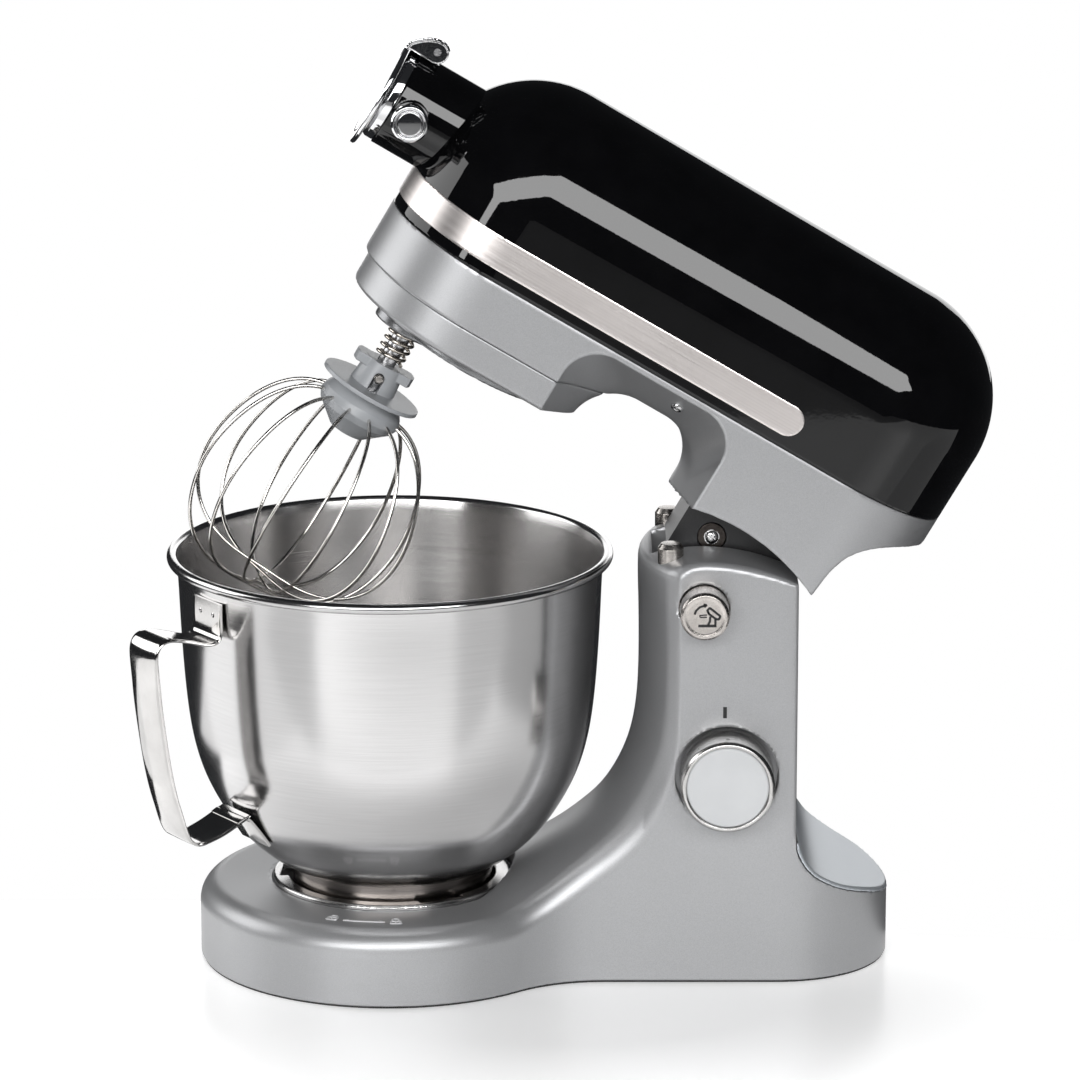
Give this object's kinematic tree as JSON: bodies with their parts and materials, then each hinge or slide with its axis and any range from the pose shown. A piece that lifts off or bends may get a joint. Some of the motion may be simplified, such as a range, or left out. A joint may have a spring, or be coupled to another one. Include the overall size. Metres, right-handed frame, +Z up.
{
  "type": "stand mixer",
  "caption": "Tilt-head planetary stand mixer with a twist-lock steel bowl, sprung wire whisk, side speed dial, tilt button and front attachment hub, shown with its head raised.",
  "frame": {"origin": "middle of the footprint of the raised mixer, on the table", "axes": "+Z up, -X towards the bowl and the raised attachment hub, +X to the rear, -Y to the side with dial and button"},
  "size_m": [0.4577, 0.24, 0.5046],
  "materials": {
    "silver_paint": "satin",
    "black_gloss": "gloss",
    "brushed_steel": "satin",
    "bright_chrome": "polished",
    "dark_plastic": "matte",
    "pale_plastic": "satin",
    "board_green": "satin",
    "black_rubber": "matte",
    "machined_steel": "satin",
    "bearing_bronze": "satin",
    "cast_alloy": "satin"
  },
  "bodies": {
    "base": {"base_housing": "silver_paint", "rear_cover": "silver_paint", "base_plate": "dark_plastic", "rubber_feet": "black_rubber", "base_screws": "machined_steel", "bowl_seat_ring": "brushed_steel", "alignment_pins": "bright_chrome", "hinge_pin": "machined_steel", "control_board": "board_green", "speed_potentiometer": "dark_plastic", "cord_gland": "dark_plastic", "terminal_block": "dark_plastic", "button_spring": "machined_steel"},
    "dial": {"speed_knob": "bright_chrome", "knob_cap": "pale_plastic", "dial_shaft": "machined_steel"},
    "button": {"tilt_button": "bright_chrome", "button_stem": "machined_steel"},
    "bowl": {"bowl_shell": "brushed_steel", "bowl_foot_ring": "brushed_steel", "bowl_handle": "brushed_steel"},
    "head": {"head_upper_shell": "black_gloss", "trim_band": "brushed_steel", "head_lower_casing": "silver_paint", "gear_cover": "silver_paint", "hinge_tongue": "silver_paint", "hinge_bushes": "bearing_bronze", "tongue_bolt": "machined_steel", "gearbox_frame": "cast_alloy", "gearbox_bridge": "dark_plastic", "main_bearings": "machined_steel", "ring_gear": "machined_steel", "motor_frame": "cast_alloy", "motor_bearings": "machined_steel", "motor_stator": "machined_steel", "drive_belt": "black_rubber", "hub_tube": "black_gloss", "hub_collar": "bright_chrome", "hub_bush": "bearing_bronze", "lid_pin": "machined_steel", "head_screws": "machined_steel"},
    "lid": {"hub_lid": "bright_chrome", "lid_bracket": "bright_chrome"},
    "lock": {"hub_lock_knob": "bright_chrome"},
    "motor": {"motor_shaft": "machined_steel", "motor_rotor": "machined_steel", "motor_fan": "dark_plastic", "motor_pulley": "cast_alloy"},
    "main": {"main_shaft": "machined_steel", "main_pulley": "cast_alloy", "planet_carrier": "pale_plastic", "drive_bevel": "machined_steel"},
    "tool": {"tool_shaft": "machined_steel", "cross_pin": "machined_steel", "planet_gear": "machined_steel", "tool_spring": "machined_steel"},
    "whisk": {"whisk_hub": "pale_plastic", "whisk_wires": "machined_steel"},
    "pto": {"attachment_shaft": "machined_steel"}
  },
  "joints": [
    {"name": "head_tilt", "type": "hinge", "parent": "base", "child": "head", "pos_m": [0.11553, 0, 0.208], "axis": [0, 1, 0], "range_deg": [-30.5, 0]},
    {"name": "planet_orbit", "type": "hinge", "parent": "head", "child": "main", "pos_m": [-0.04323, 0, 0.35026], "axis": [0.5075, 0, 0.8616], "continuous": true},
    {"name": "tool_spin", "type": "hinge", "parent": "main", "child": "tool", "pos_m": [-0.07167, 0, 0.36701], "axis": [0.5075, 0, 0.8616], "continuous": true},
    {"name": "motor_spin", "type": "hinge", "parent": "head", "child": "motor", "pos_m": [0.12431, 0, 0.3096], "axis": [0.5075, 0, 0.8616], "continuous": true},
    {"name": "attachment_spin", "type": "hinge", "parent": "head", "child": "pto", "pos_m": [-0.03644, 0, 0.44062], "axis": [0.8616, 0, -0.5075], "continuous": true},
    {"name": "whisk_push", "type": "slide", "parent": "tool", "child": "whisk", "axis": [0.5075, 0, 0.8616], "range_m": [0, 0.006], "stiffness_N_per_m": 700, "springref_m": -0.005, "deforming": ["tool_spring"]},
    {"name": "button_press", "type": "slide", "parent": "base", "child": "button", "axis": [0, 1, 0], "range_m": [0, 0.005], "stiffness_N_per_m": 900, "springref_m": -0.003, "deforming": ["button_spring"]},
    {"name": "lock_press", "type": "slide", "parent": "head", "child": "lock", "axis": [0, 1, 0], "range_m": [0, 0.003], "stiffness_N_per_m": 900, "springref_m": -0.002},
    {"name": "dial_turn", "type": "hinge", "parent": "base", "child": "dial", "pos_m": [0.08653, -0.07, 0.1155], "axis": [0, 1, 0], "range_deg": [-35, 245]},
    {"name": "bowl_twist", "type": "hinge", "parent": "base", "child": "bowl", "pos_m": [-0.09347, 0, 0.045], "axis": [0, 0, 1], "range_deg": [0, 28]},
    {"name": "lid_hinge", "type": "hinge", "parent": "head", "child": "lid", "pos_m": [-0.06665, 0, 0.49671], "axis": [0, 1, 0], "range_deg": [0, 90]}
  ],
  "couplings": [
    {"joint": "tool_spin", "follows": "planet_orbit", "ratio": -2.5714},
    {"joint": "motor_spin", "follows": "planet_orbit", "ratio": 3.5},
    {"joint": "attachment_spin", "follows": "planet_orbit", "ratio": -1}
  ]
}
